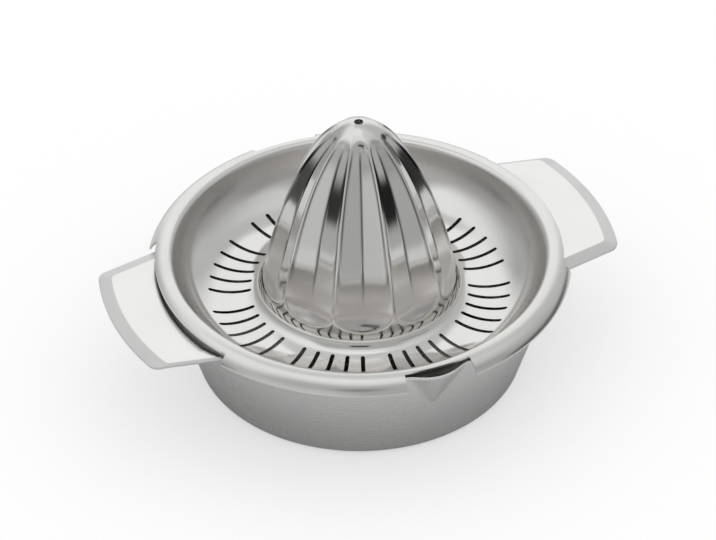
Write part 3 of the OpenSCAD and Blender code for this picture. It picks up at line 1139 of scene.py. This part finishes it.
    def build(self, panel: bpy.types.Material, border: bpy.types.Material) -> bpy.types.Object:
        """Builds and dresses the handle.

        Args:
            panel: Material of the panel and the underside.
            border: Material of the border.

        Returns:
            The piece.
        """
        bm = bmesh.new()
        ends = self._top_face(bm)
        seam = [bm.edges.get(pair) for pair in zip(ends, ends[1:])]
        pulled = bmesh.ops.extrude_edge_only(bm, edges=[e for e in seam if e is not None])["geom"]
        for v in (g for g in pulled if isinstance(g, bmesh.types.BMVert)):
            r = math.hypot(v.co.x, v.co.y)
            share = (r - self.bowl.slope * self.flange * MM) / r
            v.co = Vector((v.co.x * share, v.co.y * share, v.co.z - self.flange * MM))
        bmesh.ops.solidify(bm, geom=bm.faces[:], thickness=self.sheet * MM)
        bmesh.ops.rotate(bm, cent=(0, 0, 0), matrix=Matrix.Rotation(math.radians(self.side.value), 3, "Z"),
                         verts=bm.verts[:])
        close_mesh(bm)
        rim = [e for e in bm.edges if len(e.link_faces) == 2 and e.calc_face_angle(0.0) > math.radians(50.0)]
        bmesh.ops.bevel(bm, geom=rim, offset=self.edge_round * MM, offset_type="OFFSET", affect="EDGES", segments=2,
                        profile=0.5, material=-1, clamp_overlap=True)
        piece = as_object(bm, f"juicer_handle_{self.side.name.lower()}", sharp=32.0)
        piece.data.materials.append(panel)
        piece.data.materials.append(border)
        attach(piece, "bowl")
        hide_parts(f"{self.side.name.lower()}_handle")
        return piece


@dataclass(frozen=True)
class LightPanel:
    """A part of the studio's surroundings with one brightness, as the steel mirrors it."""

    turn: tuple[float, float]
    height: tuple[float, float]
    level: float
    soft_turn: float
    soft_low: float
    soft_high: float


@dataclass
class Studio:
    """White studio: paper floor, light panels all round, and a camera at the product's viewing angle."""

    azimuth: float = -22.4
    elevation: float = 38.34
    roll: float = -0.3
    distance: float = 1.517
    lens: float = 208.8
    aim: tuple[float, float] = (-0.0005, 0.0369)
    paper_half: float = 0.27
    paper_back: float = 1.3
    paper: float = 0.95
    paper_lift: float = 0.46
    # Paper tones that the steel mirrors near and far from the bowl: a painted shadow, darkest near the bowl.
    paper_seen_shaded: tuple[float, float] = (0.42, 0.66)
    paper_shade: tuple[float, float] = (58.0, 96.0)
    fill: float = 1.06
    room: float = 0.45
    panels: tuple[LightPanel, ...] = (
        LightPanel((-162.0, -58.0), (38.0, 130.0), 0.92, 25.0, 36.0, 44.0),
        LightPanel((58.0, 140.0), (42.0, 130.0), 0.73, 25.0, 50.0, 44.0),
        LightPanel((116.0, 160.0), (6.0, 60.0), 0.56, 16.0, 8.0, 30.0),
        LightPanel((-60.0, 60.0), (62.0, 130.0), 0.84, 20.0, 16.0, 16.0),
        LightPanel((-62.0, -5.0), (-60.0, 26.0), 0.6, 12.0, 12.0, 12.0),
        LightPanel((-5.0, 82.0), (-60.0, 30.0), 0.43, 20.0, 16.0, 16.0),
        LightPanel((46.0, 80.0), (17.0, 36.0), 0.36, 12.0, 8.0, 8.0),
        LightPanel((-24.0, 24.0), (33.0, 50.0), 0.47, 14.0, 10.0, 10.0),
        LightPanel((-11.0, 11.0), (32.0, 43.0), 0.05, 5.0, 6.0, 4.0),
        LightPanel((114.0, 146.0), (-17.0, -1.0), 0.15, 10.0, 5.0, 5.0),
        LightPanel((-97.0, -66.0), (-6.0, 10.0), 0.03, 9.0, 4.0, 12.0),
        LightPanel((-128.0, -92.0), (-16.0, 2.0), 0.07, 14.0, 4.0, 10.0),
        LightPanel((76.0, 102.0), (-9.0, 9.0), 0.01, 7.0, 4.0, 8.0),
        LightPanel((98.0, 130.0), (-16.0, 5.0), 0.03, 12.0, 4.0, 8.0),
        LightPanel((-400.0, 400.0), (78.0, 130.0), 0.95, 10.0, 10.0, 10.0),
    )
    back: LightPanel = LightPanel((150.0, 230.0), (-130.0, 53.0), 0.97, 22.0, 6.0, 6.0)
    back_high: LightPanel = LightPanel((140.0, 230.0), (54.0, 76.0), 0.64, 24.0, 8.0, 8.0)

    def _floor(self, effects: SteelEffects) -> bpy.types.Object:
        """Strip of white paper that keeps the object's shadow. The steel mirrors it darker, most of all near the
        bowl, as a painted shadow.

        Args:
            effects: Node groups shared by the finishes.

        Returns:
            The floor.
        """
        bm = bmesh.new()
        bmesh.ops.create_grid(bm, x_segments=2, y_segments=2, size=1.0)
        length = (self.paper_half + self.paper_back) / 2.0
        bmesh.ops.scale(bm, vec=(self.paper_half, length, 1.0), verts=bm.verts[:])
        bmesh.ops.translate(bm, vec=(0.0, length - self.paper_half, -0.0004), verts=bm.verts[:])
        bmesh.ops.rotate(bm, cent=(0, 0, 0), matrix=Matrix.Rotation(math.radians(self.azimuth), 3, "Z"),
                         verts=bm.verts[:])
        floor = as_object(bm, "floor")
        paper = bpy.data.materials.new("white_paper")
        paper.use_nodes = True
        work = Shader(paper.node_tree)
        sheet = paper.node_tree.nodes["Principled BSDF"]
        path = work.node("ShaderNodeLightPath")
        place = work.node("ShaderNodeTexCoord").outputs["Object"]
        shade = work.group(effects.band, Coordinates=place, Start=self.paper_shade[0] * MM,
                           End=self.paper_shade[1] * MM).outputs[0]
        # Painted shadow: glossy rays see the paper darker, most of all near the bowl.
        near, far = (grey(tone) for tone in self.paper_seen_shaded)
        plain = work.mix(path.outputs["Is Camera Ray"], grey(self.paper), grey(self.paper - self.paper_lift))
        work.join(work.mix(path.outputs["Is Glossy Ray"], plain, work.mix(shade, near, far)),
                  sheet.inputs["Base Color"])
        sheet.inputs["Emission Color"].default_value = grey(1.0)
        work.join(work.math("MULTIPLY", path.outputs["Is Camera Ray"], self.paper_lift * self.fill),
                  sheet.inputs["Emission Strength"])
        sheet.inputs["Roughness"].default_value = 1.0
        sheet.inputs["Specular IOR Level"].default_value = 0.0
        floor.data.materials.append(paper)
        return floor

    @staticmethod
    def _within(work: Shader, value: bpy.types.NodeSocket, span: tuple[float, float],
                soft: tuple[float, float]) -> bpy.types.NodeSocket:
        """Mask of a span of angles with soft ends.

        Args:
            work: Shader in work.
            value: Angle in degrees.
            span: Start and end in degrees.
            soft: Width of the soft start and the soft end in degrees.

        Returns:
            The mask's socket.
        """
        rise = work.ramp(value, span[0] - soft[0] / 2.0, span[0] + soft[0] / 2.0)
        fall = work.ramp(value, span[1] - soft[1] / 2.0, span[1] + soft[1] / 2.0, 1.0, 0.0)
        return work.math("MULTIPLY", rise, fall)

    def _world(self) -> None:
        """White to the eye and to the paper; the steel mirrors the panels."""
        world = bpy.data.worlds.new("studio")
        world.use_nodes = True
        bpy.context.scene.world = world
        work = Shader(world.node_tree)
        light = world.node_tree.nodes["Background"]
        split = work.node("ShaderNodeSeparateXYZ")
        turned = work.node("ShaderNodeVectorRotate", rotation_type="Z_AXIS")
        work.join(work.node("ShaderNodeTexCoord").outputs["Generated"], turned.inputs["Vector"])
        turned.inputs["Angle"].default_value = -math.radians(self.azimuth)
        work.join(turned.outputs[0], split.inputs[0])
        front = work.math("MULTIPLY", split.outputs[1], -1.0)
        turn = work.math("DEGREES", work.math("ARCTAN2", split.outputs[0], front))
        height = work.math("DEGREES", work.math("ARCSINE", split.outputs[2]))
        around = work.math("ABSOLUTE", turn)
        level: object = self.room
        for panel in (*self.panels, self.back, self.back_high):
            angle = around if panel in (self.back, self.back_high) else turn
            mask = work.math("MULTIPLY",
                             self._within(work, angle, panel.turn, (panel.soft_turn, panel.soft_turn)),
                             self._within(work, height, panel.height, (panel.soft_low, panel.soft_high)))
            blend = work.node("ShaderNodeMix", data_type="FLOAT")
            work.feed(blend.inputs[0], mask)
            work.feed(blend.inputs[2], level)
            blend.inputs[3].default_value = panel.level
            level = blend.outputs[0]
        path = work.node("ShaderNodeLightPath")
        plain = work.node("ShaderNodeMix", data_type="FLOAT")
        work.join(path.outputs["Is Camera Ray"], plain.inputs[0])
        plain.inputs[2].default_value = self.fill
        plain.inputs[3].default_value = 1.0
        choice = work.node("ShaderNodeMix", data_type="FLOAT")
        work.join(path.outputs["Is Glossy Ray"], choice.inputs[0])
        work.join(plain.outputs[0], choice.inputs[2])
        work.feed(choice.inputs[3], level)
        work.join(choice.outputs[0], light.inputs["Strength"])
        light.inputs["Color"].default_value = grey(1.0)

    def _camera(self) -> None:
        """Camera at the photographed angle."""
        a, e = math.radians(self.azimuth), math.radians(self.elevation)
        back = Vector((math.sin(a) * math.cos(e), -math.cos(a) * math.cos(e), math.sin(e)))
        right = Vector((math.cos(a), math.sin(a), 0.0))
        lens = bpy.data.cameras.new("camera")
        lens.sensor_width = 36.0
        lens.lens = self.lens
        lens.clip_end = 50.0
        camera = bpy.data.objects.new("camera", lens)
        bpy.context.scene.collection.objects.link(camera)
        camera.location = right * self.aim[0] + Vector((0.0, 0.0, self.aim[1])) + back * self.distance
        camera.rotation_mode = "QUATERNION"
        camera.rotation_quaternion = ((-back).to_track_quat("-Z", "Y")
                                      @ Quaternion((0.0, 0.0, 1.0), math.radians(self.roll)))
        bpy.context.scene.camera = camera

    def build(self, effects: SteelEffects) -> None:
        """Sets up the floor, the light and the camera.

        Args:
            effects: Node groups shared by the finishes.
        """
        bpy.context.scene.view_settings.view_transform = "Standard"
        self._floor(effects)
        self._world()
        self._camera()


def main() -> None:
    """Builds the juicer on its frame and reports each piece."""
    logging.basicConfig(level=logging.INFO, format="%(name)s: %(message)s")
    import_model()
    effects = SteelEffects()
    polished = SteelFinish("polished_steel", (0.797, 0.794, 0.774), (0.768, 0.765, 0.745), rough=0.09,
                           rough_lines=0.04, rough_marks=0.03, line_depth=0.000004, band=(58.0, 69.5),
                           band_rough=0.16, painted_shade_level=0.05, haze=(0.68, 0.658, 0.638), haze_rough=0.07)
    under = SteelFinish("drawn_steel", (0.74, 0.74, 0.735), (0.7, 0.7, 0.695), rough=0.24, rough_lines=0.1,
                        rough_marks=0.06, line_depth=0.000012)
    satin = SteelFinish("satin_steel", (0.85, 0.847, 0.84), (0.82, 0.817, 0.81), rough=0.27, rough_lines=0.08,
                        rough_marks=0.03, line_depth=0.000007, breaks=2.5)
    bright = SteelFinish("bright_steel", (0.87, 0.868, 0.86), (0.85, 0.848, 0.84), rough=0.2, rough_lines=0.06,
                         rough_marks=0.04, line_depth=0.000006, grain=Grain.ALONG)
    matt = SteelFinish("matt_steel", (0.69, 0.688, 0.684), (0.66, 0.658, 0.654), rough=0.4, rough_lines=0.08,
                       rough_marks=0.05, line_depth=0.00001, grain=Grain.ALONG)
    cut = SteelFinish("cut_steel", (0.6, 0.6, 0.595), (0.5, 0.5, 0.495), rough=0.38, rough_lines=0.12,
                      rough_marks=0.08, line_depth=0.00001)
    made = {f.name: f.material(effects) for f in (polished, under, satin, bright, matt, cut)}
    bowl = JuiceBowl()
    builders: list[Callable[[], bpy.types.Object]] = [
        lambda: ReamerTop().build({SheetFace.UPPER: made["polished_steel"], SheetFace.UNDER: made["drawn_steel"],
                                   SheetFace.CUT: made["cut_steel"]}),
        lambda: bowl.build({SheetFace.UPPER: made["satin_steel"], SheetFace.UNDER: made["drawn_steel"],
                            SheetFace.CUT: made["cut_steel"]}),
        lambda: SideHandle(Side.LEFT, bowl=bowl).build(made["bright_steel"], made["matt_steel"]),
        lambda: SideHandle(Side.RIGHT, bowl=bowl).build(made["bright_steel"], made["matt_steel"]),
    ]
    for build in builders:
        piece = build()
        LOG.info("%s: %d faces", piece.name, len(piece.data.polygons))
    Studio().build(effects)


if __name__ == "__main__":
    main()
